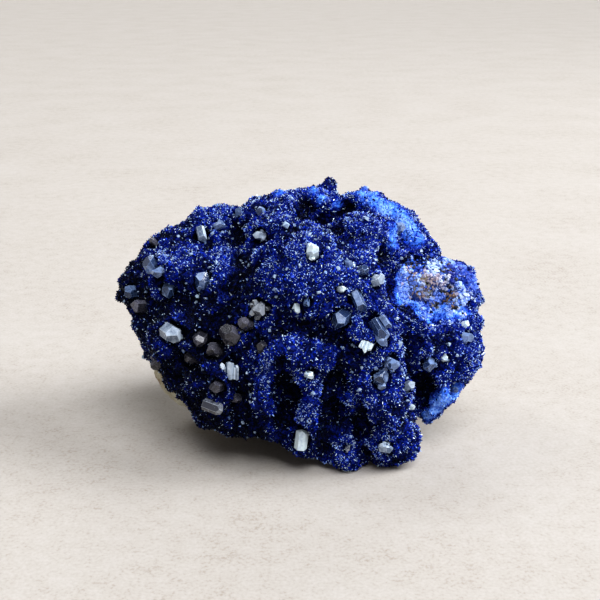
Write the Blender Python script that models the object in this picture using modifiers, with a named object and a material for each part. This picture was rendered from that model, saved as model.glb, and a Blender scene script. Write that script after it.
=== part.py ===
"""An azurite specimen: a lobed azurite crust on its host rock, studded with pale six-sided crystals.

Metres, +Z up, the front towards -Y. The origin is on the ground, under the middle of the bounding box.

Places on the front are written in millimetres as they look from straight in front, a little above:
across (to the right), up, and depth (away from the front), all from one point in the middle of the stone.
"""

import math

import bmesh
import bpy
from mathutils import Matrix, Vector, noise
from mathutils.bvhtree import BVHTree

MM = 0.001

# The stone's own sizes.
GAP = 0.3 * MM  # between two pieces that touch
MIDDLE_HEIGHT = 18.3 * MM  # of the point that places are measured from, above the ground
LOOK_DOWN = math.radians(20)  # how far above level the front is looked at from
LOOK_DISTANCE = 160 * MM  # from the eye to the middle of the stone

# The crust.
CRUST_VOXEL = 0.8 * MM
CRUST_TRIANGLES = 4500
KNOB_WIDTH = 5.0 * MM  # of the rounded knobs that cover the lobes
KNOB_HEIGHT = 1.1 * MM
PIMPLE_WIDTH = 2.4 * MM  # of the smaller ones between them
PIMPLE_HEIGHT = 0.45 * MM
DRUSE_HEIGHT = 0.75 * MM  # of the pointed crystals that stand on the crust

# The host rock.
ROCK_VOXEL = 1.0 * MM
ROCK_TRIANGLES = 800
ROCK_ROUGHNESS = 1.3 * MM
ROCK_LEDGE = 3.2 * MM

# The pale crystals.
SUNK = 0.42  # the share of a crystal's height that is in the crust
TABLE = 0.30  # the share of a crystal's half width that its end bevels take

# Lobes of the crust: across, up, depth of the centre, then half width, half height, half depth.
CRUST_LOBES = [
    (0.5, 0, 0, 23, 16.3, 15),  # the mass that the lobes stand on
    # The outline, clockwise from the left tip.
    (-24.6, 6.0, 5, 4.3, 4.6, 6),
    (-19.0, 10.8, 4, 6.5, 5.0, 8),
    (-12.3, 14.3, 5, 6.4, 4.5, 8),
    (-4, 15.8, 4, 7, 4.6, 9),
    (2, 18, 7, 5, 3.2, 6),
    (4.2, 21.4, 7, 1.7, 1.7, 1.7),
    (10, 17.8, 7, 5, 3.7, 6),
    (14.2, 15.1, 7, 4.7, 4.2, 6),
    (17.3, 10.9, 6, 4.3, 4.9, 6),
    (23.4, 8.0, 4.5, 4.0, 2.3, 4.5),
    (21.8, 4.2, 3, 5.6, 5.2, 7),
    (23, -3.5, 1, 5.6, 6.3, 7),
    (21, -9.3, 1, 4.4, 4.0, 6),
    (19.8, -12.8, 1, 2.9, 2.3, 4),
    (14, -17.2, -5, 4.6, 5.2, 5),
    (6.8, -18.4, -5.5, 3.6, 4.4, 4.5),
    (1.5, -16.3, -6, 4.5, 4.0, 5),
    (-4, -14.4, -5, 4.5, 3.9, 6),
    (-9.5, -13.8, -4, 4.8, 3.9, 6),
    (-13.6, -12.6, -3, 3.9, 3.9, 6),
    (-18.2, -7.4, 0, 3.5, 3.8, 6),
    (-20.9, -1.8, 1, 4.1, 5.4, 7),
    (-22.5, 1.6, 2, 3.9, 4.6, 7),
    # The face.
    (2, 6.2, -6, 11.5, 9.2, 12.3),
    (-16.9, -1, -3, 7.4, 7.0, 8.3),
    (-18.2, 7.8, -1, 6.6, 4.8, 8),
    (-11, 2, -6, 6, 7.2, 7.6),
    (-12, -8.5, -6, 6, 6.2, 7.3),
    (-1, -4, -9, 7.6, 5.6, 8.8),
    (10.5, -1, -8, 7.2, 7.6, 8.6),
    (11.5, -9, -7, 6.6, 6.2, 7.8),
    (-6, -9.5, -10, 2.7, 5.2, 5),
    (1.8, -11.5, -10, 2.9, 5.6, 5),
    (13.5, -12.5, -8, 3.8, 4.8, 4.8),
    (9.5, 13, -2, 5.8, 4.8, 8.8),
    (-3, 13.5, -1, 7, 4.6, 9),
]

# Valleys of the face: half width, depth, then the across and up of the points that it runs through.
VALLEYS = [
    (2.6, 2.0, (-10.8, 15.6), (-10.0, 9.8), (-11.4, 3.9), (-14.0, -3.5)),
    (2.0, 2.6, (13.6, 10.8), (15.0, 6.2), (17.0, 1.1), (18.4, -4.4), (18.2, -13.3)),
    (1.9, 1.8, (-10.4, -6.2), (-9.2, -11.7), (-9.8, -16.4)),
    (2.0, 2.3, (-3.2, -6.4), (-2.0, -10.9), (-2.8, -15.6)),
    (1.8, 2.1, (5.6, -8.0), (4.6, -14.0), (3.6, -19.5)),
    (1.6, 1.7, (8.9, -13.0), (10.2, -20.5)),
    (1.9, 1.4, (-9.0, -3.6), (-2.0, 0.4), (5.0, -1.6), (9.0, -5.0)),
    (1.8, 1.6, (-24.0, 1.0), (-20.0, 4.2), (-14.5, 4.4)),
    (1.6, 1.6, (-16.8, -13.0), (-16.0, -8.6), (-19.0, -4.6)),
    (1.8, 1.5, (-8.0, 13.0), (0.5, 16.4), (5.4, 15.6), (8.0, 11.0)),
]

# Hollows of the face: across, up, half width, half height, depth.
HOLLOWS = [
    (0.6, 18.4, 3.2, 1.5, 3.2),
    (7.0, 18.4, 1.3, 1.1, 2.2),
    (20.0, -10.1, 1.7, 2.7, 5.0),
    (17.3, 10.0, 1.4, 1.1, 1.6),
]

# The window on the right shoulder, where the crust has broken away from the rock:
# across, up, depth, half width, half height, half depth.
WINDOW = (20.4, 5.8, -7.2, 7.2, 5.8, 6.2)

# Lumps of the host rock, written as the crust's lobes are.
ROCK_LUMPS = [
    (0, -1.5, 10, 20.5, 14, 12),
    (-17.6, -7.2, 7, 4.9, 5.4, 6),
    (1, -11, 13, 16.5, 8.5, 9),
    (20.6, 5.3, 3.6, 6.0, 5.0, 6.6),
    (13, 6, 12, 8, 8, 8),
]

# Pale crystals of the face: across, up, half width, height, lean to the right and lean up in degrees.
FACE_CRYSTALS = [
    (-15.4, 14.2, 1.0, 2.6, 10, 25),
    (-23.6, 9.6, 1.2, 2.4, -15, 15),
    (-26.6, 5.1, 1.1, 2.0, -15, 0),
    (-25.6, 2.9, 1.5, 2.4, -15, -10),
    (-22.3, 8.1, 1.0, 1.9, 10, 0),
    (-20.7, 5.3, 1.1, 2.0, 0, -15),
    (-15.4, 6.9, 1.2, 2.4, 15, 20),
    (-20.1, -1.4, 1.6, 3.4, 38, 6),
    (-15.8, -2.3, 1.1, 2.0, 0, 0),
    (-11.2, -1.3, 1.4, 2.6, 5, 12),
    (-13.5, -3.9, 1.2, 2.2, -15, -10),
    (-8.7, 0.2, 1.1, 2.3, -15, 10),
    (-6.4, 2.4, 1.5, 3.0, 16, 18),
    (-17.2, -5.2, 1.1, 1.9, -5, 0),
    (-11.2, -6.7, 1.1, 3.2, 8, 40),
    (-13.2, -9.8, 1.0, 2.0, -20, 10),
    (-10.4, -11.3, 1.0, 2.0, 25, 0),
    (-14.2, -12.9, 1.4, 3.0, 30, 0),
    (0.0, -17.9, 1.1, 3.6, 4, 55),
    (1.9, 11.5, 1.1, 2.3, 12, -8),
    (-6.7, 14.0, 1.0, 2.1, -25, 30),
    (-9.5, 17.7, 0.9, 1.8, 0, 10),
    (-6.2, 17.6, 0.8, 1.7, 15, 0),
    (-12.5, 15.6, 0.8, 1.6, 20, 10),
    (7.4, 9.6, 0.8, 1.7, -20, 20),
    (9.7, 8.5, 0.8, 1.5, 30, 0),
    (6.4, 5.6, 0.7, 1.5, 0, 20),
    (12.3, 7.0, 0.9, 2.0, 25, 20),
    (8.9, 3.9, 0.9, 3.6, 22, -50),
    (6.1, 0.8, 1.4, 2.7, -10, 25),
    (11.6, 0.3, 1.0, 3.6, 30, -48),
    (12.9, -2.6, 0.9, 2.4, 30, -20),
    (10.0, -3.7, 1.1, 2.3, -12, 18),
    (14.4, -6.0, 1.1, 2.2, 20, 0),
    (12.6, -8.3, 1.3, 2.5, 10, 15),
    (16.9, -9.4, 0.8, 1.8, 15, 0),
    (1.4, -7.8, 0.8, 1.7, 0, 12),
    (-0.6, 2.0, 0.7, 2.3, 30, -30),
    (0.9, 3.4, 0.6, 1.4, -10, 0),
    (19.9, -6.2, 1.1, 2.0, -15, 15),
    (22.4, -5.2, 0.6, 1.4, 25, 0),
    (25.6, 0.1, 0.7, 1.5, 20, 10),
    (26.3, -2.0, 1.1, 1.9, 30, 0),
    (17.3, -12.8, 0.8, 1.6, 25, 15),
    (13.4, -19.4, 1.1, 2.2, 15, 25),
    (-5.9, -3.6, 0.9, 1.7, 0, 0),
    (7.3, -19.4, 0.7, 1.5, -10, 0),
]

# Pale crystals round the sides: bearing from the front in degrees, height above the ground, half width, height.
SIDE_CRYSTALS = [
    (-100, 31, 1.2, 2.4),
    (-76, 14, 1.3, 2.6),
    (-108, 25, 1.0, 2.0),
    (75, 10, 1.1, 2.2),
    (86, 16, 1.0, 2.1),
    (100, 33, 0.9, 2.0),
]


def clear_scene():
    for obj in list(bpy.data.objects):
        bpy.data.objects.remove(obj, do_unlink=True)


def new_collection(name):
    collection = bpy.data.collections.new(name)
    bpy.context.scene.collection.children.link(collection)
    return collection


def new_material(name, colour, roughness):
    material = bpy.data.materials.new(name)
    material.use_nodes = True
    shader = material.node_tree.nodes["Principled BSDF"]
    shader.inputs["Base Color"].default_value = (*colour, 1)
    shader.inputs["Roughness"].default_value = roughness
    shader.inputs["Metallic"].default_value = 0
    material.diffuse_color = (*colour, 1)
    return material


# Directions of the eye that the front's places are written for.
ACROSS = Vector((1, 0, 0))
UP = Vector((0, math.sin(LOOK_DOWN), math.cos(LOOK_DOWN)))
AWAY = Vector((0, math.cos(LOOK_DOWN), -math.sin(LOOK_DOWN)))
MIDDLE = Vector((0, 0, MIDDLE_HEIGHT))
EYE = MIDDLE - AWAY * LOOK_DISTANCE


def seen_at(across, up, depth):
    """The point that looks to be at this across and up, in millimetres, and lies this deep."""
    spread = 1 + depth * MM / LOOK_DISTANCE
    return MIDDLE + (ACROSS * across + UP * up) * (spread * MM) + AWAY * (depth * MM)


def look_of(point):
    """The across and up that this point looks to be at, in millimetres."""
    offset = point - EYE
    scale = LOOK_DISTANCE / (offset.dot(AWAY) * MM)
    return Vector((offset.dot(ACROSS) * scale, offset.dot(UP) * scale))


def add_lump(bm, across, up, depth, half_width, half_height, half_depth):
    turn = Matrix((ACROSS, AWAY, UP)).transposed().to_4x4()
    size = Matrix.Diagonal((half_width * MM, half_depth * MM, half_height * MM, 1))
    place = Matrix.Translation(seen_at(across, up, depth))
    bmesh.ops.create_icosphere(bm, subdivisions=3, radius=1, matrix=place @ turn @ size)


def object_from(bm, name, collection):
    mesh = bpy.data.meshes.new(name)
    bm.to_mesh(mesh)
    bm.free()
    obj = bpy.data.objects.new(name, mesh)
    collection.objects.link(obj)
    return obj


def settle(obj):
    """Puts what the object's modifiers make into its own mesh."""
    bpy.context.view_layer.update()
    graph = bpy.context.evaluated_depsgraph_get()
    made = bpy.data.meshes.new_from_object(obj.evaluated_get(graph))
    obj.modifiers.clear()
    obj.data = made


def fused(lumps, name, voxel, collection):
    """One closed, softened body from overlapping lumps."""
    bm = bmesh.new()
    for lump in lumps:
        add_lump(bm, *lump)
    obj = object_from(bm, name, collection)
    remesh = obj.modifiers.new("Fuse", "REMESH")
    remesh.mode = "VOXEL"
    remesh.voxel_size = voxel
    soften = obj.modifiers.new("Soften", "SMOOTH")
    soften.factor = 0.5
    soften.iterations = 3
    settle(obj)
    return obj


def displace(obj, height_at):
    """Moves every point along its normal by height_at(point, normal), in metres."""
    bm = bmesh.new()
    bm.from_mesh(obj.data)
    bm.normal_update()
    moves = [(vert, vert.normal * height_at(vert.co, vert.normal)) for vert in bm.verts]
    for vert, move in moves:
        vert.co += move
    bm.to_mesh(obj.data)
    bm.free()


def dome(point, width):
    """1 on top of a rounded knob and 0 in the crease between two, for knobs this wide."""
    near, next_nearest = noise.voronoi(point / width)[0][:2]
    return min(1, (next_nearest - near) * 1.6) ** 0.5


def along(path, place):
    """The distance from a place to a path through points."""
    best = math.inf
    for start, end in zip(path, path[1:]):
        start, end = Vector(start), Vector(end)
        run = end - start
        share = min(1, max(0, (place - start).dot(run) / run.length_squared))
        best = min(best, (place - start - run * share).length)
    return best


def fall_off(distance):
    """1 at distance 0, falling smoothly to 0 at distance 1."""
    return (1 - min(1, distance) ** 2) ** 2


def face_relief(point, normal):
    """How far the valleys and hollows of the face draw the crust in."""
    facing = -normal.dot(AWAY)
    if facing < 0.05:
        return 0
    place = look_of(point)
    drop = 0
    for half_width, depth, *path in VALLEYS:
        drop += depth * fall_off(along(path, place) / half_width)
    for across, up, half_width, half_height, depth in HOLLOWS:
        offset = Vector(((place.x - across) / half_width, (place.y - up) / half_height))
        drop += depth * fall_off(offset.length)
    return -drop * MM * min(1, facing * 3)


def crust_relief(point, normal):
    knobs = KNOB_HEIGHT * (dome(point, KNOB_WIDTH) - 0.6)
    pimples = PIMPLE_HEIGHT * (dome(point + Vector((7, 7, 7)), PIMPLE_WIDTH) - 0.6)
    return knobs + pimples + face_relief(point, normal)


def rock_relief(point, normal):
    rough = noise.fractal(point / (6 * MM), 0.8, 2.0, 3) * ROCK_ROUGHNESS
    ledge = noise.cell(point / ROCK_LEDGE) * 0.35 * ROCK_ROUGHNESS
    return rough + ledge


def thin_out(obj, triangles):
    obj.data.calc_loop_triangles()
    decimate = obj.modifiers.new("Thin", "DECIMATE")
    decimate.ratio = triangles / len(obj.data.loop_triangles)
    decimate.use_collapse_triangulate = True
    settle(obj)


def raise_druse(obj):
    """Draws points of the crust out into flat-faced crystals, never two that share an edge."""
    bm = bmesh.new()
    bm.from_mesh(obj.data)
    bm.normal_update()
    raised = set()
    moves = []
    for vert in bm.verts:
        if any(edge.other_vert(vert) in raised for edge in vert.link_edges):
            continue
        raised.add(vert)
        reach = sum(edge.calc_length() for edge in vert.link_edges) / len(vert.link_edges)
        share = 0.65 + 0.35 * noise.noise(vert.co / (1.7 * MM))
        lean = noise.noise_vector(vert.co / (2.3 * MM)) * 0.35
        height = min(DRUSE_HEIGHT, 0.6 * reach) * share
        moves.append((vert, (vert.normal + lean) * height))
    for vert, move in moves:
        vert.co += move
    bm.to_mesh(obj.data)
    bm.free()


def cut(obj, cutter):
    boolean = obj.modifiers.new("Cut " + cutter.name, "BOOLEAN")
    boolean.operation = "DIFFERENCE"
    boolean.solver = "EXACT"
    boolean.object = cutter
    settle(obj)


def drop_crumbs(obj):
    """Removes the chips that the cuts left loose, so that only the largest body stays."""
    bm = bmesh.new()
    bm.from_mesh(obj.data)
    left = set(bm.verts)
    bodies = []
    while left:
        body = set()
        front = [left.pop()]
        while front:
            vert = front.pop()
            body.add(vert)
            near = {edge.other_vert(vert) for edge in vert.link_edges} & left
            left -= near
            front += near
        bodies.append(body)
    bodies.sort(key=len)
    for body in bodies[:-1]:
        bmesh.ops.delete(bm, geom=list(body), context="VERTS")
    bm.to_mesh(obj.data)
    bm.free()


def grown(obj, amount, name, collection):
    """A copy of a body whose points stand this much further out."""
    copy = bpy.data.objects.new(name, obj.data.copy())
    collection.objects.link(copy)
    displace(copy, lambda point, normal: amount)
    return copy


def add_ground(collection):
    bm = bmesh.new()
    size = Matrix.Diagonal((120 * MM, 120 * MM, 30 * MM, 1))
    bmesh.ops.create_cube(bm, size=1, matrix=Matrix.Translation((0, 0, -15 * MM)) @ size)
    return object_from(bm, "ground", collection)


def add_window(collection):
    bm = bmesh.new()
    add_lump(bm, *WINDOW)
    return object_from(bm, "window", collection)


def crystal_place(point, normal, lean_right, lean_up, height):
    """Where a crystal's own frame lies: its foot at the origin, its axis along +Z."""
    axis = (normal + ACROSS * math.tan(math.radians(lean_right)) + UP * math.tan(math.radians(lean_up)))
    axis.normalize()
    turn = axis.to_track_quat("Z", "Y").to_matrix().to_4x4()
    return Matrix.Translation(point - axis * height * SUNK) @ turn


def add_crystal(name, half_width, height, place, collection):
    """A stubby six-sided prism with bevelled ends."""
    bm = bmesh.new()
    middle = Matrix.Translation((0, 0, height / 2))
    bmesh.ops.create_cone(
        bm, cap_ends=True, segments=6, radius1=half_width, radius2=half_width, depth=height, matrix=middle
    )
    rim = [edge for edge in bm.edges if all(vert.co.z > 0.9 * height for vert in edge.verts)]
    bmesh.ops.bevel(bm, geom=rim, offset=half_width * TABLE, segments=1, affect="EDGES")
    crystal = object_from(bm, name, collection)
    crystal.matrix_world = place
    return crystal


def add_pocket(name, half_width, height, place, collection):
    """The room that a crystal takes in the crust, with a gap all round."""
    bm = bmesh.new()
    radius = half_width + GAP / math.cos(math.pi / 6)
    length = height + 2 * GAP
    middle = place @ Matrix.Translation((0, 0, length / 2 - GAP))
    bmesh.ops.create_cone(
        bm, cap_ends=True, segments=6, radius1=radius, radius2=radius, depth=length, matrix=middle
    )
    return object_from(bm, name, collection)


def crystal_sites(form):
    """(place, half width, height) of every pale crystal, seated on the crust's form."""
    bm = bmesh.new()
    bm.from_mesh(form)
    tree = BVHTree.FromBMesh(bm)
    bm.free()
    for across, up, half_width, height, lean_right, lean_up in FACE_CRYSTALS:
        target = seen_at(across, up, 0)
        point, normal, _, _ = tree.ray_cast(EYE, (target - EYE).normalized())
        place = crystal_place(point, normal, lean_right, lean_up, height * MM)
        yield place, half_width * MM, height * MM
    for bearing, above_ground, half_width, height in SIDE_CRYSTALS:
        angle = math.radians(bearing)
        outward = Vector((math.sin(angle), -math.cos(angle), 0))
        start = outward * 0.1 + Vector((0, 0, above_ground * MM))
        point, normal, _, _ = tree.ray_cast(start, -outward)
        place = crystal_place(point, normal, 0, 0, height * MM)
        yield place, half_width * MM, height * MM


def centre_on_origin(parts):
    """Moves the parts so that the middle of their bounding box's foot is at the origin."""
    bpy.context.view_layer.update()
    graph = bpy.context.evaluated_depsgraph_get()
    corners = []
    for part in parts:
        evaluated = part.evaluated_get(graph)
        corners += [evaluated.matrix_world @ vert.co for vert in evaluated.to_mesh().vertices]
        evaluated.to_mesh_clear()
    shift = Vector(
        [-(min(c[axis] for c in corners) + max(c[axis] for c in corners)) / 2 for axis in (0, 1)]
        + [-min(c.z for c in corners)]
    )
    for part in parts:
        part.matrix_world = Matrix.Translation(shift) @ part.matrix_world
    return shift


def main():
    clear_scene()
    parts = new_collection("azurite_specimen")
    cutters = new_collection("cutters")

    rock = fused(ROCK_LUMPS, "matrix_rock", ROCK_VOXEL, parts)
    displace(rock, rock_relief)
    thin_out(rock, ROCK_TRIANGLES)

    crust = fused(CRUST_LOBES, "azurite_crust", CRUST_VOXEL, parts)
    displace(crust, crust_relief)
    thin_out(crust, CRUST_TRIANGLES)
    form = crust.data.copy()
    raise_druse(crust)

    rock_room = grown(rock, GAP, "rock_room", cutters)
    window = add_window(cutters)
    ground = add_ground(cutters)
    cut(crust, window)
    cut(crust, rock_room)
    cut(crust, ground)
    cut(rock, ground)

    crystals = []
    for number, (place, half_width, height) in enumerate(crystal_sites(form), 1):
        crystals.append(add_crystal(f"pale_crystal_{number:02}", half_width, height, place, parts))
        cut(crust, add_pocket(f"pocket_{number:02}", half_width, height, place, cutters))
    drop_crumbs(crust)

    finishes = {
        crust: new_material("azurite", (0.012, 0.016, 0.16), 0.25),
        rock: new_material("host rock", (0.42, 0.34, 0.25), 0.9),
    }
    pale = new_material("pale crystal", (0.62, 0.68, 0.76), 0.2)
    for part in [crust, rock, *crystals]:
        part.data.materials.clear()
        part.data.materials.append(finishes.get(part, pale))
    for cutter in cutters.objects:
        cutter.hide_render = True
        cutter.display_type = "WIRE"
    centre_on_origin([crust, rock, *crystals])


main()
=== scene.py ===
"""The azurite specimen's looks: druse, powdery patches, host rock and pale crystals."""

import math

import bmesh
import bpy
import numpy as np
from mathutils import Matrix, Vector, noise
from mathutils.bvhtree import BVHTree


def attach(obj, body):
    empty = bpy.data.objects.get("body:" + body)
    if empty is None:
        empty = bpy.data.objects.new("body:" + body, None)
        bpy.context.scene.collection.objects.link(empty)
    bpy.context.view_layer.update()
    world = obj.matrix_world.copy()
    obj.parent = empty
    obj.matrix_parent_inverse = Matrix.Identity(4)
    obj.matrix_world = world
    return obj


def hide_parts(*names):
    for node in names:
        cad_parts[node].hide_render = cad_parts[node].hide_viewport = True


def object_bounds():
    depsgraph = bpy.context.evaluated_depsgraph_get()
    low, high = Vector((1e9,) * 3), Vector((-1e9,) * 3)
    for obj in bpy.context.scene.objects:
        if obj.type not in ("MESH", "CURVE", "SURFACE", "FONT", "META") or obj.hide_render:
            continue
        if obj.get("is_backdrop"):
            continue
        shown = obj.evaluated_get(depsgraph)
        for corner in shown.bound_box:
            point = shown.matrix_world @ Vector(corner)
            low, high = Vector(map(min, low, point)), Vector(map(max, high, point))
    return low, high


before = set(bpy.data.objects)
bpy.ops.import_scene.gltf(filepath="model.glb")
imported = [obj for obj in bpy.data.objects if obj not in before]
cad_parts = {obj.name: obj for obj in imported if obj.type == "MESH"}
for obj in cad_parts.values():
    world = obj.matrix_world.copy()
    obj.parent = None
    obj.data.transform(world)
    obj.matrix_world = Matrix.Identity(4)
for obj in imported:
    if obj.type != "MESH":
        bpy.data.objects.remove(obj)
cad_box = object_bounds()

MM = 0.001

# The eye that looks at the front, and the middle of the stone that it looks at.
LOOK_DOWN = math.radians(20)
LOOK_DISTANCE = 160 * MM
MIDDLE = Vector((0.253, -1.628, 18.3)) * MM
PIXEL = 0.156 * MM  # the width of one pixel of the frame at the middle of the stone
FRAME_WIDTH = 600  # pixels
MIDDLE_IN_FRAME = (301, 325)  # where that middle is, in pixels from the left and from the top
SENSOR_WIDTH = 36  # millimetres
NEAREST_SEEN = 10 * MM

ACROSS = Vector((1, 0, 0))
UP = Vector((0, math.sin(LOOK_DOWN), math.cos(LOOK_DOWN)))
AWAY = Vector((0, math.cos(LOOK_DOWN), -math.sin(LOOK_DOWN)))
EYE = MIDDLE - AWAY * LOOK_DISTANCE

# The crust: the size of its mesh, the rounds of softening that take the solid's flat faces away
# and those that leave only its broad form, and the (width, height) of its rounded knobs.
CRUST_VOXEL = 0.34 * MM
CRUST_SOFTENINGS = 6
BROAD_SOFTENINGS = 120
KNOBS = ((3.3 * MM, 0.45 * MM), (1.5 * MM, 0.26 * MM))
KNOB_MEAN = 0.75  # a knob's mean height, which is kept where the plain crust was
DOME_STEEPNESS = 1.6  # how soon a knob rises from its crease
CREASE = 0.55 * MM  # how far below the broad form a hollow gets the darkest painted shade

# The host rock: its mesh, its lumps and its grains, as (width, height) in millimetres.
ROCK_VOXEL = 0.42 * MM
ROCK_SOFTENINGS = 3
ROCK_LUMPS = (2.6, 0.30)
LUMP_ROUGHNESS = (0.9, 2.0, 4)  # how fast finer lumps fade, how much finer each round is, rounds
ROCK_GRAINS = (0.9, 0.16)
ROCK_GRAIN_MEAN = 0.6
ROCK_FOOT = 0.4 * MM  # below this height the rock stays as flat as its foot

SOLID_WELD = 0.002 * MM  # points of a solid that are this near are one

# Where the face swells or draws in: across, up and reach, then by how much across, up and away,
# all in millimetres. What moves across and up moves at the back as well.
SWELLINGS = (
    (-1.0, 21.9, 3.4, 0.0, 1.1, 0.0),
    (4.4, 23.0, 1.8, 0.0, 0.5, 0.0),
    (-23.2, 14.5, 3.0, 0.45, -0.45, 0.0),
    (-28.0, 9.0, 1.8, 0.45, 0.0, 0.0),
    (27.6, 6.4, 3.4, 0.7, 0.0, 0.0),
    (27.6, 1.8, 2.0, 0.9, 0.0, 0.0),
    (2.6, -20.6, 2.0, 0.0, -0.6, 0.0),
    (16.9, 10.0, 1.3, 0.0, 0.0, 1.5),
    (18.6, 9.8, 1.1, 0.0, 0.0, 1.2),
)

# Where little crystals and grains may grow: the least distance between two places, and the seed.
DRUSE_PLACES = (0.215 * MM, 1)
POWDER_PLACES = (0.25 * MM, 2)
PALE_PLACES = (0.9 * MM, 3)
PATCH_PITCH = 0.32 * MM
TRIES = 2.4  # random tries for each square of that distance; fewer leave gaps
HIDDEN_BY_ROCK = 1.0 * MM  # no azurite grows where the rock lies this close in front
OFF_THE_GROUND = 0.25 * MM
OFF_THE_CRYSTALS = 0.03 * MM
COARSE_SHARE = 0.12  # of the druse crystals are the larger ones

# The seeds of what is left to luck once the places are known.
DRUSE_LUCK = 11
PATCH_LUCK = 5
PALE_LUCK = 8

# The faces of two little forms, quads and then triangles: a four-sided prism with a roof, and a
# roof that starts at the foot. Both are open at the foot, which is buried. The width lies along
# X, the thickness along Y and the axis along Z.
PRISM = (
    ((0, 1, 5, 4), (1, 2, 6, 5), (2, 3, 7, 6), (3, 0, 4, 7), (4, 5, 9, 8), (6, 7, 8, 9)),
    ((5, 6, 9), (7, 4, 8)),
)
PRISM_CORNERS = 10
ROOF = (((0, 1, 5, 4), (2, 3, 4, 5)), ((1, 2, 5), (3, 0, 4)))
ROOF_CORNERS = [0, 1, 2, 3, 8, 9]  # of a prism

# How each mesh of grains grows: form, width, how many widths tall, how far it leans, and seed.
GROWTHS = {
    "druse_left": (PRISM, 0.27 * MM, 1.2, 0.45, 20),
    "druse_right": (PRISM, 0.27 * MM, 1.2, 0.45, 21),
    "fine_druse_left": (ROOF, 0.18 * MM, 1.6, 0.6, 22),
    "fine_druse_right": (ROOF, 0.18 * MM, 1.6, 0.6, 23),
    "powdery_azurite": (ROOF, 0.30 * MM, 0.9, 0.8, 30),
    "patch_grains": (PRISM, 0.46 * MM, 1.0, 0.7, 6),
    "pale_grains": (PRISM, 1, 1.1, 0.4, 9),  # times the width that each has of its own
}
UNEVEN = (0.7, 1.3)  # the least and the greatest share of the usual size
BURIED = 0.35  # a grain's foot lies this share of its width below the ground
SPARKLE_SLIMNESS = 0.56  # the crystals with painted sparkle have this share of the usual width
CELL_MARGIN = 0.1  # round each crystal's square of the map

# How uneven those forms are: the thickness, half the ridge's length and its slope as shares of the
# width, the shoulder's height as a share of the whole, and how far off the middle the ridge lies.
THICKNESS = (0.45, 1.0)
SHOULDER_HEIGHT = (0.35, 0.75)
HALF_RIDGE = (0.02, 0.42)
RIDGE_ASIDE = (-0.15, 0.15)
RIDGE_SLOPE = (-0.12, 0.12)

# How bright the azurite is painted, from 0 to 1: painted shade in its hollows and on the side away from
# the light, and painted light on its swellings and lit side. Slow changes of its own tone add to it,
# and it is brighter where it is powdery.
PLAIN_MOOD = 0.42
# painted light on the swellings and painted shade in the hollows
SHADING_BY_RELIEF = 0.55
MOOD_OF_POWDER = 0.3
MOOD_WAVES = ((3.2 * MM, 0.35), (1.1 * MM, 0.22))  # (width, height) of its slow changes
LIT_SIDE = Vector((0.5, -0.1, 0.85))  # it is bluer towards this side and near black on the other, as painted light and painted shade
LIT_BLUE = 0.22 / (15 * MM)  # and it grows bluer by this much a metre
SPOT_STRENGTH = 1.2
SPOT_FADE = 1.5  # a bright or dark spot fades from a third of its reach
CRUST_TONE_AND_SHADING = 0.13  # of the druse's brightness, with its painted light and shade, shows in the mass under it
LEAST_MOOD = 0.05

# Places where the druse is painted brighter, as painted light, or darker, as painted shade in its
# hollows and pit, than elsewhere: across, up and reach in millimetres, and by how much.
DRUSE_LIGHT_AND_SHADE = (
    (-13.9, 16.1, 3.4, 0.30),
    (-12.3, 10.5, 2.8, 0.50),
    (-21.5, 10.8, 2.0, 0.30),
    (-6.1, -7.6, 1.8, 0.45),
    (-5.9, -10.6, 1.5, 0.40),
    (1.7, -9.4, 2.0, 0.40),
    (0.3, -13.3, 2.0, 0.45),
    (8.4, -11.7, 2.4, 0.30),
    (11.5, -12.9, 2.0, 0.25),
    (6.9, -19.6, 4.0, 0.35),
    (14.2, -17.7, 3.0, 0.35),
    (-0.2, 8.6, 4.0, 0.35),
    (6.0, 9.4, 3.0, 0.30),
    (10.0, 2.0, 4.0, 0.30),
    (18.6, -11.7, 2.4, 0.35),
    (22.5, -8.4, 2.6, 0.40),
    (27.0, -4.0, 3.0, 0.30),
    (12.0, -8.0, 3.0, 0.30),
    (5.2, -9.2, 2.6, 0.20),
    (9.5, -16.0, 2.4, 0.25),
    (10.8, -17.9, 4.0, 0.15),
    (26.4, 0.8, 3.6, 0.16),
    (-17.3, 12.5, 3.4, 0.12),
    (-17.0, -4.0, 8.0, -0.35),
    (-11.0, 3.0, 5.0, -0.25),
    (-12.0, -17.0, 8.0, -0.30),
    (-27.0, 5.0, 4.0, -0.30),
    (-8.5, 8.5, 4.0, -0.22),
    (0.9, 18.5, 2.2, -0.5),
    (7.0, 18.4, 2.0, -0.4),
    (19.6, -9.4, 2.2, -0.6),
    (15.8, 3.6, 1.6, -0.5),
    (4.6, 22.6, 1.8, -0.6),
    (25.6, 10.0, 2.0, 0.6),
    (28.0, 7.4, 2.0, 0.5),
    (17.0, 10.2, 1.6, -0.8),
)

# The tones of the druse crystals, as (tone, colour). The darkest serve mostly as painted shade in the
# hollows and on the shaded side, and the palest, at 1, are painted light-blue sparkles. Then the chance
# that a crystal is such a painted sparkle or a painted white glint: the least chance, how much more
# where it is bright, and how steeply that grows.
DRUSE_TONES = (
    (0.0, (0.0055, 0.0055, 0.0080)),
    (0.12, (0.0028, 0.0032, 0.012)),
    (0.25, (0.0008, 0.0025, 0.045)),
    (0.50, (0.001, 0.007, 0.22)),
    (0.80, (0.012, 0.050, 0.60)),
    (1.0, (0.36, 0.55, 1.0)),
)
TONE_SPREAD = (0.1, 1.1)  # a crystal's tone, as a share of how bright its place is
PLAIN_TONE = 0.99  # the highest tone of a crystal or grain without painted sparkle
ALL_RUBBED = 1.01  # nothing sparkles where the azurite is nearly this powdery
SPARKLE_CHANCE = (0.06, 0.40, 1.8)
SPARKLE_TONE = 1.0
GLINT_CHANCE = (0.035, 0.24, 2)
GLINT_TONE = 2.0
# the painted white of a glint, which also has a coat
PAINTED_GLINT_COLOUR = (0.70, 0.87, 1.0)

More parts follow.
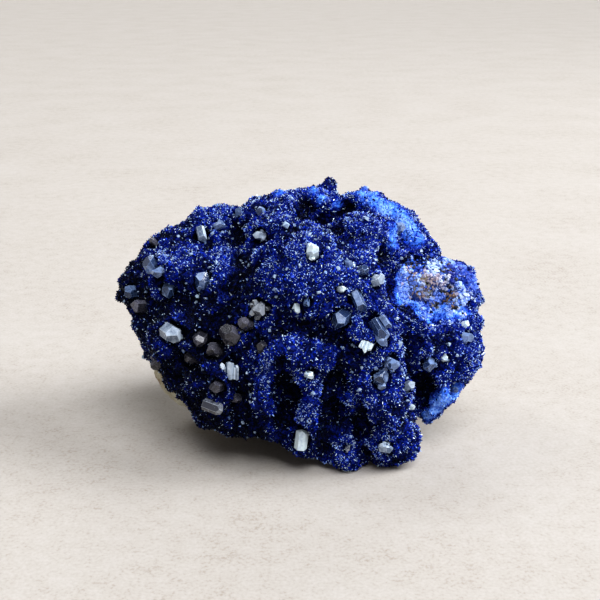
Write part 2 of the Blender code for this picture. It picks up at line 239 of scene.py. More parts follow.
# Places on the face where the azurite is rubbed or broken to a bright powdery blue:
# across, up and reach in millimetres, and how bright.
POWDER_SPOTS = (
    (-3.4, 21.2, 1.4, 0.6),
    (-1.8, 21.6, 1.6, 0.75),
    (0.0, 21.8, 1.6, 0.75),
    (1.6, 21.0, 1.4, 0.6),
    (3.4, 19.9, 1.2, 0.8),
    (5.6, 18.7, 1.0, 0.7),
    (8.2, 21.2, 1.4, 0.7),
    (10.2, 20.6, 2.2, 0.8),
    (12.0, 19.4, 2.2, 0.8),
    (13.6, 17.8, 2.6, 0.9),
    (15.6, 16.4, 2.6, 0.9),
    (17.0, 15.2, 2.4, 0.9),
    (18.4, 13.4, 1.6, 0.6),
    (14.4, 13.6, 2.0, 0.8),
    (19.7, -14.3, 1.7, 0.9),
    (21.0, -13.0, 1.9, 0.9),
    (22.6, -11.6, 1.9, 0.9),
    (24.2, -10.3, 1.6, 0.8),
)
POWDER_WAVES = ((1.8 * MM, 0.5), (0.7 * MM, 0.35))
POWDER_FADE = (1.6, 1.3)  # how far over full it is in the middle of a spot, and its fall a reach
DRUSE_MISSING = (1.3, -0.25)  # the share of druse crystals that is missing: slope by powder, start
POWDER_THERE = (1.25, -0.1)  # the share of powder grains that is there: slope by powder, start
POWDER_BRIGHTNESS = (0.7, 0.3, 0.25)  # by luck, by how powdery its place is, and by its relief, which paints light on swellings and shade in hollows
POWDER_TONES = (
    (0.25, (0.010, 0.030, 0.30)),
    (0.5, (0.035, 0.125, 0.66)),
    (0.78, (0.090, 0.28, 0.90)),
    (1.0, (0.36, 0.58, 1.0)),
)
CRUST_NAVY = (0.0, (0.001, 0.0015, 0.010))

# The bare patch at the right, where rock grains show: its middle on the face (across, up) in
# millimetres, and its half sizes across, up and away.
PATCH_MIDDLE = (21.4, 6.2)
PATCH_SIZE = np.array([5.2, 3.9, 9.0]) * MM
PATCH_WAVES = ((2.6 * MM, 0.5), (0.9 * MM, 0.25))
PATCH_EDGE = 1.12  # grains lie this far out, as a share of its half sizes
PATCH_RIM = 1.45  # and this far out the crust is broken to bright blue
RIM_FADE = 0.3
RIM_OPEN = (0.75, -0.8, -0.7)  # how bright that rim is: in the middle, then its change across and up
RIM_LEAST = 0.15

# The kinds of patch grain, from pitch dark through brown, pinkish, grey and white to blue. Pitch dark
# grains fill the pit at the patch's upper left as painted shade.
PATCH_TONES = (
    (0.0, (0.004, 0.004, 0.012)),
    (0.07, (0.010, 0.009, 0.020)),
    (0.14, (0.24, 0.145, 0.085)),
    (0.24, (0.42, 0.32, 0.29)),
    (0.34, (0.50, 0.44, 0.53)),
    (0.46, (0.43, 0.49, 0.70)),
    (0.58, (0.50, 0.64, 0.93)),
    (0.72, (0.28, 0.44, 0.94)),
    (0.86, (0.05, 0.14, 0.70)),
    (1.0, (0.006, 0.014, 0.22)),
)
BLUE_KINDS = (0.78, 0.99)  # those on the blue-stained shoulder

# Where each kind of patch grain gathers: across, up and reach in millimetres, and the kind.
PATCH_KINDS = (
    (16.9, 8.1, 1.0, 0.25),
    (16.0, 8.9, 0.8, 0.56),
    (15.4, 7.4, 0.9, 0.80),
    # the pit: pitch dark grains as painted shade
    (17.2, 10.0, 1.4, 0.0),
    (18.7, 9.9, 0.9, 0.0),
    (18.3, 8.3, 0.8, 0.92),
    (17.4, 6.4, 1.0, 0.74),
    (19.6, 9.0, 0.6, 0.64),
    (20.8, 9.1, 0.7, 0.58),
    (21.8, 9.6, 0.6, 0.66),
    (22.2, 8.6, 0.6, 0.09),
    (22.0, 7.4, 0.9, 0.42),
    (23.9, 8.3, 1.0, 0.99),
    (23.4, 7.2, 0.7, 0.99),
    (19.7, 7.1, 0.8, 0.36),
    (19.0, 6.2, 0.7, 0.52),
    (20.6, 6.4, 0.8, 0.28),
    (21.4, 6.1, 0.8, 0.36),
    (18.8, 4.7, 0.8, 0.26),
    (20.2, 5.0, 0.8, 0.46),
    (21.3, 4.4, 1.1, 0.79),
    (23.0, 5.9, 0.7, 0.02),
    (22.6, 5.0, 0.5, 0.02),
    (23.2, 4.2, 0.8, 0.16),
    (24.4, 3.3, 0.6, 0.02),
    (25.7, 4.5, 0.9, 0.58),
    (25.3, 3.4, 0.7, 0.62),
    (24.7, 6.2, 0.8, 0.66),
    (26.6, 6.4, 1.5, 0.94),
    (25.7, 8.3, 1.5, 0.92),
    (24.6, 10.0, 1.0, 0.76),
    (21.5, 3.0, 0.6, 0.02),
    (22.3, 2.4, 0.8, 0.68),
    (19.6, 3.2, 0.9, 0.88),
    (18.2, 2.4, 0.9, 0.74),
)
KIND_WANDER = 0.35  # how far grains stray from where their kind gathers, in millimetres
KIND_SPREAD = 0.03
STRAY_SHARE = 0.16
STRAY_KINDS = (0.0, 0.36, 0.46, 0.66, 0.80, 0.92)

# The shoulder of the rock that is stained blue: across, up and reach on the face, and how far
# back it goes, in millimetres. Elsewhere the rock is stained this close to the crust.
SHOULDER = (26.0, 7.5, 6.0, 6.0)
SHOULDER_STAIN = 1.2
STAIN_REACH = 2.2 * MM

# The colours of the rock, each as (place on the scale of its own noise, colour).
BEIGE_TONES = (
    (0.28, (0.15, 0.115, 0.075)),
    (0.42, (0.36, 0.30, 0.20)),
    (0.52, (0.50, 0.47, 0.35)),
    (0.66, (0.62, 0.60, 0.50)),
    (0.8, (0.70, 0.67, 0.60)),
)
RUST_TONES = ((0.35, (0.16, 0.06, 0.02)), (0.7, (0.42, 0.22, 0.09)))
GREEN_TONES = ((0.3, (0.06, 0.17, 0.11)), (0.7, (0.22, 0.42, 0.30)))
BLUE_STAIN_TONES = ((0.3, (0.008, 0.02, 0.16)), (0.7, (0.06, 0.14, 0.50)))

# The finishes of the pale crystals: the colours of their dark and of their cloudy places, how
# clear they are and how rough.
CRYSTAL_FINISHES = {
    "clear": ((0.045, 0.08, 0.19), (0.38, 0.54, 0.92), 0.45, 0.02),
    "bright": ((0.13, 0.18, 0.28), (0.70, 0.82, 0.98), 0.2, 0.03),
    "milky": ((0.26, 0.38, 0.60), (0.78, 0.92, 1.0), 0.12, 0.03),
    "smoky": ((0.042, 0.042, 0.058), (0.20, 0.20, 0.26), 0.40, 0.22),
    "grey": ((0.07, 0.075, 0.10), (0.58, 0.64, 0.74), 0.3, 0.03),
}
PALE_GRAIN_FINISH = ((0.08, 0.14, 0.34), (0.58, 0.76, 1.0), 0.3, 0.05)

# How white the facets of a cloudy, a glassy and a milky crystal may be, partly cloudy veils and partly
# painted reflections, and the edges of all, whose white is a painted highlight.
CLOUDY = (0.0, 0.35, 0.7, 0.95)
GLASSY = (-0.3, 0.1, 0.5, 1.0)
MILKY = (0.6, 0.8, 1.0, 1.2)
EDGE_HIGHLIGHT = 0.8

# What the numbered pale crystals are like: their finish and facets. The others are plain.
PLAIN_KIND = ("clear", GLASSY)
CRYSTAL_KINDS = (
    ({1, 8, 15, 21, 28, 36, 45}, "bright", CLOUDY),
    ({19, 20, 27, 33, 37, 38, 41, 42, 44}, "milky", MILKY),
    ({5, 24, 32, 34, 43}, "clear", CLOUDY),
    ({4, 9, 10, 11, 12, 14, 16, 17, 46, 48, 49, 50}, "smoky", GLASSY),
    ({13}, "grey", CLOUDY),
    ({18, 47}, "grey", GLASSY),
)
SMALLER = {
    4: 0.75,
    27: 0.8,
    38: 0.7,
    43: 0.8,
    44: 0.8,
    47: 0.65,
    48: 0.5,
    49: 0.8,
    50: 0.5,
    51: 0.5,
    52: 0.5,
}
CLUSTERS = {13: 6, 21: 5, 10: 2, 8: 1, 45: 4, 34: 4}  # how many small ones stand round it
USUAL_CLUSTERS = 3  # the others have fewer than this round them, by their number
CROWDED = 3  # with more than this many round it, a crystal is slimmer
CROWDED_SLIMNESS = 0.75

# The ones that lie across the face: which way, half width and length in millimetres, how many
# stand beside it, and how far its middle is moved across and up.
LYING = {
    1: ((0.25, -1.0), 0.75, 3.2, 0, (0.2, -1.1)),
    15: ((0.06, 1.0), 0.62, 3.6, 4, (-0.4, -0.2)),
    18: ((1.0, -0.35), 1.15, 3.2, 0, (0.8, 0.5)),
    19: ((0.12, 1.0), 1.15, 4.0, 0, (0.0, 0.0)),
    29: ((0.44, -1.0), 0.95, 4.2, 0, (-0.2, -0.1)),
    31: ((0.55, -1.0), 0.95, 3.4, 1, (0.1, -0.6)),
    32: ((0.5, -1.0), 0.85, 3.0, 1, (-0.7, 0.6)),
    33: ((-0.45, -1.0), 0.42, 1.9, 4, (0.0, 0.0)),
}
SHOWS_AT = 0.72  # of its height, the place of a standing crystal that shows
TIPPED_OUT = 0.30  # how far the end of a lying one points out of the face

# The plain prisms that the crystals are cut from, and the cutting.
SAME_WAY = 0.995  # faces whose normals agree to this much are one side
TOP_SHARE = 0.49  # of the foot's area has the top, which the bevels make smaller
FOOT_SLICE = 0.05  # of the height, what is measured as the foot
FOOT_DEPTH = 0.25 * MM  # how far a crystal goes on below its foot
SIDE_TURN = (-7, 7)  # degrees off a regular six-sided prism
SIDE_PLACE = (0.74, 1.03)  # as a share of where that prism's side is
END_STEEPNESS = (40, 54)  # degrees, for all six faces of an end
END_UNEVEN = (-8, 8)  # degrees more, for each face
LARGE_END_START = (0.42, 0.66)  # of the height, where a large face of the end begins
SMALL_END_START = (0.72, 0.94)
TIP_TILT = (-0.15, 0.15)  # of the small face that blunts the tip
TIP_AT = 0.99  # of the height
CRYSTAL_WELD = 0.01 * MM
CRYSTAL_BEVEL = 0.035 * MM

# Tiny pale crystals among the druse: the width of most, the least share of the places that hold
# one and how much more they hold where they gather, and that place: across, up, reach.
PALE_WIDTH = 0.42 * MM
PALE_SHARE = (0.10, 0.30)
PALE_GATHER = (-12, 12, 9)
PALE_WHITENESS = (0.1, 0.9)

# Tiny bright ones that stand alone: across, up and width, in millimetres.
LONE_GRAINS = (
    (-2.5, 15.6, 0.8),
    (14.3, -7.1, 0.75),
    (8.3, 9.1, 0.75),
    (10.4, 16.5, 0.65),
    (5.8, 8.9, 0.6),
    (23.1, -3.0, 0.6),
    (18.4, -5.9, 0.55),
    (15.4, -3.0, 0.55),
    (8.2, 5.3, 0.5),
    (2.8, 5.1, 0.5),
    (12.2, 4.0, 0.45),
    (-23.3, 10.5, 0.6),
    (-16.1, 4.5, 0.5),
    (23.1, 0.6, 0.5),
)
LONE_WHITENESS = 1.3

# The room: its walls, paler near the floor, as (how high a direction points, colour), its floor,
# and its windows as the way to them, strength, width in degrees and colour.
WALL_TONES = ((0.15, (0.62, 0.60, 0.58)), (0.36, (0.19, 0.185, 0.18)))
FLOOR_TONES = ((0.32, (0.33, 0.29, 0.25)), (0.45, (0.42, 0.385, 0.35)), (0.62, (0.46, 0.43, 0.40)))
FLOOR_REACH = 5
WINDOWS = {
    "right_window": ((0.80, -0.06, 0.58), 1.7, 26, (0.94, 0.97, 1.0)),
    "overhead": ((0.22, -0.42, 0.88), 2.4, 40, (0.95, 0.97, 1.0)),
    "back_window": ((0.10, 0.78, 0.62), 0.5, 24, (0.92, 0.96, 1.0)),
    "left_window": ((-0.55, 0.30, 0.75), 0.5, 18, (0.92, 0.96, 1.0)),
}
NEAR_WINDOW_PLACE = Vector((0.55, 0.05, 0.50))
NEAR_WINDOW_WIDTH = 0.30
NEAR_WINDOW_POWER = 2.6
NEAR_WINDOW_COLOUR = (0.93, 0.96, 1.0)


def link(obj):
    bpy.context.scene.collection.objects.link(obj)
    return obj


def add_mesh(name, points, faces):
    mesh = bpy.data.meshes.new(name)
    mesh.from_pydata(points, [], faces)
    return link(bpy.data.objects.new(name, mesh))


def mesh_from(bm, name):
    mesh = bpy.data.meshes.new(name)
    bm.to_mesh(mesh)
    bm.free()
    return mesh


def coordinates(mesh):
    flat = np.empty(len(mesh.vertices) * 3, np.float32)
    mesh.vertices.foreach_get("co", flat)
    return flat.reshape(-1, 3).astype(float)


def triangles(mesh):
    mesh.calc_loop_triangles()
    flat = np.empty(len(mesh.loop_triangles) * 3, np.int32)
    mesh.loop_triangles.foreach_get("vertices", flat)
    return flat.reshape(-1, 3)


def set_attribute(obj, name, values, domain="POINT"):
    made = obj.data.attributes.new(name, "FLOAT", domain)
    made.data.foreach_set("value", np.asarray(values, np.float32))


def soften(obj, rounds):
    """Evens out the object's form, once its modifiers are settled."""
    softening = obj.modifiers.new("Soften", "SMOOTH")
    softening.factor = 0.5
    softening.iterations = rounds


def settle(obj):
    """Puts what the object's modifiers make into its own mesh."""
    graph = bpy.context.evaluated_depsgraph_get()
    made = bpy.data.meshes.new_from_object(obj.evaluated_get(graph))
    obj.modifiers.clear()
    obj.data = made


def refined_copy(node, name, voxel, softenings):
    """A copy of a node's solid with a fine even mesh and its flat faces softened away."""
    bm = bmesh.new()
    bm.from_mesh(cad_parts[node].data)
    bmesh.ops.remove_doubles(bm, verts=bm.verts, dist=SOLID_WELD)
    obj = link(bpy.data.objects.new(name, mesh_from(bm, name)))
    remesh = obj.modifiers.new("Refine", "REMESH")
    remesh.mode = "VOXEL"
    remesh.voxel_size = voxel
    soften(obj, softenings)
    settle(obj)
    return obj


def relief_of(obj, softenings):
    """How far each point of a fine mesh stands out of its softened form: more than 0 on a swelling."""
    soft = link(bpy.data.objects.new("softened", obj.data.copy()))
    soften(soft, softenings)
    settle(soft)
    moved = coordinates(obj.data) - coordinates(soft.data)
    bpy.data.objects.remove(soft)
    outward = np.empty(len(moved) * 3, np.float32)
    obj.data.vertices.foreach_get("normal", outward)
    return (moved * outward.reshape(-1, 3)).sum(1)


def displace(obj, height_at):
    """Moves every point along its normal by height_at(point), in metres."""
    for vert, normal in [(vert, vert.normal.copy()) for vert in obj.data.vertices]:
        vert.co += normal * height_at(vert.co)


def tree_of(*objects):
    """The faces of these objects, for finding what a line meets and what lies nearest."""
    points = []
    faces = []
    for obj in objects:
        start = len(points)
        points += [vert.co.copy() for vert in obj.data.vertices]
        faces += [[start + corner for corner in face.vertices] for face in obj.data.polygons]
    return BVHTree.FromPolygons(points, faces)


def dome(point, width):
    """1 on top of a rounded knob and 0 in the crease between two, for knobs this wide."""
    near, next_nearest = noise.voronoi(point / width)[0][:2]
    return min(1, (next_nearest - near) * DOME_STEEPNESS) ** 0.5


def wavering(points, waves):
    """A slow noise at each point, for ragged borders: the sum of waves of each (width, height)."""
    total = 0
    for width, height in waves:
        total += np.array([noise.noise(Vector(point) / width) for point in points]) * height
    return total


def across_and_up(points):
    """Where each point looks to be on the face, in millimetres from its middle."""
    sight = points - np.array(EYE)
    sight *= LOOK_DISTANCE / (sight @ np.array(AWAY))[:, None]
    return sight @ np.array([ACROSS, UP]).T / MM


def seen_on(tree, across, up):
    """(point, normal) of a surface where it looks to be this far across and up, in millimetres."""
    target = MIDDLE + (ACROSS * across + UP * up) * MM
    return tree.ray_cast(EYE, (target - EYE).normalized())[:2]


def swell(obj):
    """Moves the points that look to be near each of the swellings."""
    points = coordinates(obj.data)
    places = across_and_up(points)
    near = (points - np.array(MIDDLE)) @ np.array(AWAY) < 0
    for across, up, reach, right, raised, away in SWELLINGS:
        share = np.exp(-(np.linalg.norm(places - (across, up), axis=1) / reach) ** 2)
        points += share[:, None] * np.array(ACROSS * right + UP * raised) * MM
        points += (share * near)[:, None] * np.array(AWAY * away) * MM
    points[:, 2] = np.maximum(points[:, 2], 0)
    obj.data.vertices.foreach_set("co", points.reshape(-1).astype(np.float32))
    obj.data.update()


def crust_knobs(point):
    return sum(height * (dome(point, width) - KNOB_MEAN) for width, height in KNOBS)


def add_crust():
    crust = refined_copy("azurite_crust", "crust_body", CRUST_VOXEL, CRUST_SOFTENINGS)
    displace(crust, crust_knobs)
    swell(crust)
    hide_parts("azurite_crust")
    return crust


def rock_roughness(point):
    if point.z <= ROCK_FOOT:
        return 0
    width, height = ROCK_LUMPS
    lump = noise.fractal(point / (width * MM), *LUMP_ROUGHNESS) * height * MM
    width, height = ROCK_GRAINS
    return lump + (dome(point, width * MM) - ROCK_GRAIN_MEAN) * height * MM


def add_rock():
    rock = refined_copy("matrix_rock", "rock_body", ROCK_VOXEL, ROCK_SOFTENINGS)
    displace(rock, rock_roughness)
    swell(rock)
    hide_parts("matrix_rock")
    return rock


class Wire:
    """A shader value. Arithmetic on it adds Math nodes to its graph."""

    def __init__(self, graph, socket):
        self.graph = graph
        self.socket = socket

    def math(self, operation, *values):
        return self.graph.node("ShaderNodeMath", {"operation": operation}, dict(enumerate(values)))

    def __add__(self, other):
        return self.math("ADD", self, other)

    __radd__ = __add__

    def __sub__(self, other):
        return self.math("SUBTRACT", self, other)

    def __rsub__(self, other):
        return self.math("SUBTRACT", other, self)

    def __mul__(self, other):
        return self.math("MULTIPLY", self, other)

    __rmul__ = __mul__

    def held(self):
        """The value kept between 0 and 1."""
        return self.graph.node("ShaderNodeClamp", sockets={"Value": self})


class Graph:
    """The nodes round the one shader of a material or a room."""

    def __init__(self, owner, shader):
        owner.use_nodes = True
        self.tree = owner.node_tree
        self.shader = self.tree.nodes[shader]

    def feed(self, socket, value):
        if isinstance(value, Wire):
            self.tree.links.new(value.socket, socket)
        elif socket.type == "RGBA":
            socket.default_value = (*value[:3], 1)
        else:
            socket.default_value = value

    def use(self, socket, value):
        self.feed(self.shader.inputs[socket], value)

    def node(self, kind, settings=(), sockets=(), out=0):
        """The output of a new node of this kind; the stops of a ramp are (place, colour) pairs."""
        made = self.tree.nodes.new(kind)
        for key, value in dict(settings).items():
            if key == "stops":
                while len(made.color_ramp.elements) < len(value):
                    made.color_ramp.elements.new(0.5)
                for element, (place, colour) in zip(made.color_ramp.elements, value):
                    element.position = place
                    element.color = (*colour, 1)
            else:
                setattr(made, key, value)
        for key, value in dict(sockets).items():
            self.feed(made.inputs[key], value)
        return Wire(self, made.outputs[out])

    def ramp(self, value, *stops):
        return self.node("ShaderNodeValToRGB", {"stops": stops}, {"Fac": value})


class Finish(Graph):
    """A material under construction round its Principled shader."""

    def __init__(self, name, **constants):
        self.material = bpy.data.materials.new(name)
        super().__init__(self.material, "Principled BSDF")
        for socket, value in constants.items():
            self.use(socket.replace("_", " "), value)

    def attribute(self, name):
        return self.node("ShaderNodeAttribute", {"attribute_name": name}, out="Fac")

    def noise(self, width, detail=3.0, rough=0.5):
        place = self.node("ShaderNodeTexCoord", out="Object")
        sockets = {"Vector": place, "Scale": 1 / width, "Detail": detail, "Roughness": rough}
        return self.node("ShaderNodeTexNoise", sockets=sockets, out="Fac")

    def blend(self, share, first, second):
        sockets = {0: share, 6: first, 7: second}
        return self.node("ShaderNodeMix", {"data_type": "RGBA"}, sockets, 2)

    def step(self, value, start, end):
        sockets = {"Value": value, "From Min": start, "From Max": end}
        return self.node("ShaderNodeMapRange", {"clamp": True}, sockets)

    def bump(self, height, strength, distance):
        sockets = {"Height": height, "Strength": strength, "Distance": distance}
        return self.node("ShaderNodeBump", sockets=sockets)


def druse_finish():
    """Glassy deep blue facets, each crystal with its own tone, which carries painted light and shade;
    those that glint are painted white and have a coat.
    """
    finish = Finish(
        "azurite_druse",
        IOR=1.36,
        Specular_IOR_Level=0.35,
        Specular_Tint=(0.20, 0.42, 1.0),
        Coat_IOR=1.6,
        Coat_Roughness=0.03,
    )
    tone = finish.attribute("tone")
    # glint marks the crystals painted white as glints
    glint = finish.step(tone, GLINT_TONE - 0.1, GLINT_TONE)
    finish.use("Base Color", finish.blend(glint, finish.ramp(tone, *DRUSE_TONES), PAINTED_GLINT_COLOUR))
    finish.use("Coat Weight", glint)
    finish.use("Roughness", finish.noise(0.25 * MM) * 0.14 + 0.04)
    return finish.material


def crust_finish():
    """The mass under the druse: navy, powdery bright blue where it is rubbed or broken, and a little of
    the druse's painted light and shade.
    """
    finish = Finish("azurite_crust_body", IOR=1.3, Specular_IOR_Level=0.1)
    speck = finish.noise(0.45 * MM, 4, 0.65)
    # bright holds the powder and the crust's painted light and shade
    bright = (finish.attribute("powder") + (speck - 0.5) * 0.6).held()
    finish.use("Base Color", finish.ramp(bright, CRUST_NAVY, *POWDER_TONES))
    finish.use("Roughness", bright * 0.4 + 0.45)
    grain = finish.noise(0.22 * MM, 3, 0.6)
    finish.use("Normal", finish.bump(grain, 0.6, 0.15 * MM))
    return finish.material


def powder_finish():
    """Small rubbed azurite crystals: bright, dry and dull."""
    finish = Finish("azurite_powder", IOR=1.6)
    tone = (finish.attribute("tone") + (finish.noise(1.1 * MM, 3) - 0.5) * 0.5).held()
    finish.use("Base Color", finish.ramp(tone, *POWDER_TONES))
    finish.use("Roughness", finish.noise(0.4 * MM) * 0.35 + 0.4)
    return finish.material


def patch_finish():
    """Loose grains of the bare patch: brown, pinkish grey, near white and stained blue."""
    finish = Finish("rock_grains", IOR=1.5)
    finish.use("Base Color", finish.ramp(finish.attribute("tone"), *PATCH_TONES))
    finish.use("Roughness", finish.noise(0.5 * MM) * 0.4 + 0.3)
    return finish.material


def rock_finish():
    """Pale greenish-beige rock, iron-stained and speckled, with blue stains beside the crust."""
    finish = Finish("host_rock_broken", IOR=1.5)
    broad = finish.noise(7 * MM, 4, 0.6)
    fine = finish.noise(0.8 * MM, 4, 0.7)
    beige = finish.ramp(broad * 0.6 + fine * 0.4, *BEIGE_TONES)
    rust = finish.step(finish.noise(4.5 * MM, 5, 0.65), 0.56, 0.70)
    stained = finish.blend(rust, beige, finish.ramp(fine, *RUST_TONES))
    green = finish.step(finish.noise(3.1 * MM, 5, 0.7), 0.62, 0.72)
    stained = finish.blend(green, stained, finish.ramp(fine, *GREEN_TONES))
    edge = finish.attribute("beside") + (finish.noise(1.3 * MM, 4, 0.7) - 0.5) * 1.3
    blue = finish.ramp(fine, *BLUE_STAIN_TONES)
    finish.use("Base Color", finish.blend(finish.step(edge, 0.45, 0.75), stained, blue))
    finish.use("Roughness", fine * 0.25 + 0.65)
    finish.use("Normal", finish.bump(finish.noise(0.3 * MM, 4, 0.7), 0.7, 0.25 * MM))
    return finish.material


def crystal_finish(kind, shadow, light, clear, rough):
    """A pale crystal: glassy facets, some of them white with cloudy veils and painted reflections and
    some dark and clear, with painted highlights on its edges.

    Fine lines run round it, as its growth left them.
    """
    finish = Finish("pale_crystal_" + kind, IOR=1.57, Transmission_Weight=clear)
    cloud = finish.noise(0.45 * MM, 4, 0.7) - 0.5
    broad = finish.noise(1.6 * MM, 2, 0.5) - 0.5
    white = (finish.attribute("white") + cloud * 1.6 + broad * 1.6).held()
    finish.use("Base Color", finish.blend(white, shadow, light))
    finish.use("Roughness", finish.noise(0.5 * MM, 2) * 0.10 + rough)
    sockets = {"W": finish.attribute("rise"), "Scale": 5.0, "Detail": 2.0}
    growth = finish.node("ShaderNodeTexNoise", {"noise_dimensions": "1D"}, sockets, "Fac")
    dents = growth * 0.5 + finish.noise(0.28 * MM, 3, 0.6)
    finish.use("Normal", finish.bump(dents, 0.45, 0.06 * MM))
    return finish.material


def finish_piece(obj, material):
    obj.data.materials.append(material)
    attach(obj, "root")


def flat_sides(mesh):
    """(normal, area) of each flat side of a solid."""
    corners = coordinates(mesh)[triangles(mesh)]
    cross = np.cross(corners[:, 1] - corners[:, 0], corners[:, 2] - corners[:, 0]) / 2
    sides = []
    for vector in cross:
        area = np.linalg.norm(vector)
        for index, (normal, so_far) in enumerate(sides):
            if normal @ vector > SAME_WAY * area:
                sides[index] = (normal, so_far + area)
                break
        else:
            sides.append((vector / area, area))
    return sides


def crystal_frame(node):
    """(foot, directions, half width, height) of a six-sided prism with bevelled ends.

    Its top is the side that faces a larger one, its foot, and has the right share of its area.
    """
    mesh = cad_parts[node].data
    sides = flat_sides(mesh)
    facing = [
        (normal, area / other_area)
        for normal, area in sides
        for other_normal, other_area in sides
        if normal @ other_normal < -SAME_WAY and area < other_area
    ]
    axis, _ = min(facing, key=lambda top: abs(top[1] - TOP_SHARE))
    points = coordinates(mesh)
    level = points @ axis
    height = level.max() - level.min()
    low = points[level < level.min() + FOOT_SLICE * height]
    foot = low.mean(0)
    spokes = low - foot
    lengths = np.linalg.norm(spokes, axis=1)
    right = spokes[np.argmax(lengths)]
    right -= axis * (right @ axis)
    right /= np.linalg.norm(right)
    return foot, np.stack([right, np.cross(axis, right), axis], 1), lengths.max(), height


def slice_off(bm, point, normal):
    """Cuts away what lies beyond a plane, and closes the cut."""
    geometry = bm.verts[:] + bm.edges[:] + bm.faces[:]
    cut = bmesh.ops.bisect_plane(bm, geom=geometry, plane_co=point, plane_no=normal, clear_outer=True)
    edges = [item for item in cut["geom_cut"] if isinstance(item, bmesh.types.BMEdge)]
    if edges:
        bmesh.ops.contextual_create(bm, geom=edges)


def cut_crystal(rng, half_width, height, facets):
    """One natural crystal, foot at the origin: (mesh, how white each face is, with a painted highlight
    on its edges).

    Its sides are uneven and it ends in three large and three small faces.
    """
    bm = bmesh.new()
    bmesh.ops.create_cube(bm, size=6 * half_width + 2 * height)
    reach = half_width * math.cos(math.pi / 6)
    steep = rng.uniform(*END_STEEPNESS)
    large = rng.integers(2)
    for side in range(6):
        angle = math.radians(60 * side + 30 + rng.uniform(*SIDE_TURN))
        out = Vector((math.cos(angle), math.sin(angle), 0))
        slice_off(bm, out * reach * rng.uniform(*SIDE_PLACE), out)
        rise = math.radians(steep + rng.uniform(*END_UNEVEN))
        start = rng.uniform(*(LARGE_END_START if side % 2 == large else SMALL_END_START))
        shoulder = out * reach + Vector((0, 0, height * start))
        slice_off(bm, shoulder, out * math.sin(rise) + Vector((0, 0, math.cos(rise))))
    tilt = Vector((rng.uniform(*TIP_TILT), rng.uniform(*TIP_TILT), 1)).normalized()
    slice_off(bm, Vector((0, 0, height * TIP_AT)), tilt)
    slice_off(bm, Vector((0, 0, -FOOT_DEPTH)), Vector((0, 0, -1)))
    bmesh.ops.remove_doubles(bm, verts=bm.verts, dist=CRYSTAL_WELD)
    settings = {"offset": CRYSTAL_BEVEL, "segments": 2, "profile": 0.5, "clamp_overlap": True}
    bevel = bmesh.ops.bevel(bm, geom=bm.edges[:], affect="EDGES", **settings)
    bmesh.ops.recalc_face_normals(bm, faces=bm.faces)
    edges = set(bevel["faces"])
    # bevel faces get the painted edge highlight; other facets a whiteness that is partly painted
    # reflection
    white = [EDGE_HIGHLIGHT if face in edges else rng.choice(facets) for face in bm.faces]
    return mesh_from(bm, "cut_crystal"), white


def small_ones_at_foot(rng, count, half_width, height):
    """(place, half width, height) of small crystals that lean out round a larger one."""
    for _ in range(count):
        lean = Matrix.Rotation(math.radians(rng.uniform(18, 40)), 4, "Y")
        spin = Matrix.Rotation(rng.uniform(0, 2 * math.pi), 4, "Z")
        aside = Matrix.Translation((half_width * rng.uniform(0.5, 0.8), 0, 0))
        share = rng.uniform(0.35, 0.55)
        yield spin @ aside @ lean, half_width * share, height * share * 1.1


def side_by_side(rng, count, half_width, height):
    """(place, half width, height) of slim crystals that stand nearly parallel to a larger one."""
    for index in range(count):
        aside = half_width * (1.25 + 0.5 * (index // 2)) * (-1) ** index
        lean = Matrix.Rotation(math.radians(rng.uniform(-6, 6)), 4, "Y")
        place = Matrix.Translation((aside, rng.uniform(-0.3, 0.3) * half_width, 0)) @ lean
        yield place, half_width * rng.uniform(0.5, 0.7), height * rng.uniform(0.6, 0.9)


def lying(foot, axis, height, along, length, moved):
    """(foot, directions) of a crystal that lies across the face, where a standing one shows."""
    shown = Vector(foot) + Vector(axis) * height * SHOWS_AT + (ACROSS * moved[0] + UP * moved[1]) * MM
    lie = (ACROSS * along[0] + UP * along[1] - AWAY * TIPPED_OUT).normalized()
    right = lie.cross(AWAY).normalized()
    return np.array(shown - lie * length / 2), np.array([right, lie.cross(right), lie]).T


def add_crystal(node, material, facets, number):
    """A natural-looking crystal in the place of a plain prism, with its neighbours."""
    rng = np.random.default_rng(number)
    foot, turn, half_width, height = crystal_frame(node)
    half_width *= SMALLER.get(number, 1)
    height *= SMALLER.get(number, 1)
    if number in LYING:
        along, half_width, length, beside, moved = LYING[number]
        half_width *= MM
        foot, turn = lying(foot, turn[:, 2], height, along, length * MM, moved)
        height = length * MM
        others = side_by_side(rng, beside, half_width, height)
    else:
        count = CLUSTERS.get(number, number % USUAL_CLUSTERS)
        if count > CROWDED:
            half_width *= CROWDED_SLIMNESS
        others = small_ones_at_foot(rng, count, half_width, height)
    home = Matrix.Translation(Vector(foot)) @ Matrix(turn.tolist()).to_4x4()
    bm = bmesh.new()
    rises = []
    whites = []
    for place, size, tall in [(Matrix.Identity(4), half_width, height), *others]:
        shape, white = cut_crystal(rng, size, tall, facets)
        rises += [vert.co.z / MM for vert in shape.vertices]
        whites += white
        shape.transform(home @ place)
        bm.from_mesh(shape)
        bpy.data.meshes.remove(shape)
    name = node + "_faceted"
    crystal = link(bpy.data.objects.new(name, mesh_from(bm, name)))
    set_attribute(crystal, "rise", rises)
    set_attribute(crystal, "white", whites, "FACE")
    finish_piece(crystal, material)
    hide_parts(node)
    return crystal


def add_crystals():
    finishes = {kind: crystal_finish(kind, *look) for kind, look in CRYSTAL_FINISHES.items()}
    crystals = []
    for node in sorted(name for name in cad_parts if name.startswith("pale_crystal")):
        number = int(node[-2:])
        kinds = ((kind, facets) for numbers, kind, facets in CRYSTAL_KINDS if number in numbers)
        kind, facets = next(kinds, PLAIN_KIND)
        crystals.append(add_crystal(node, finishes[kind], facets, number))
    return crystals


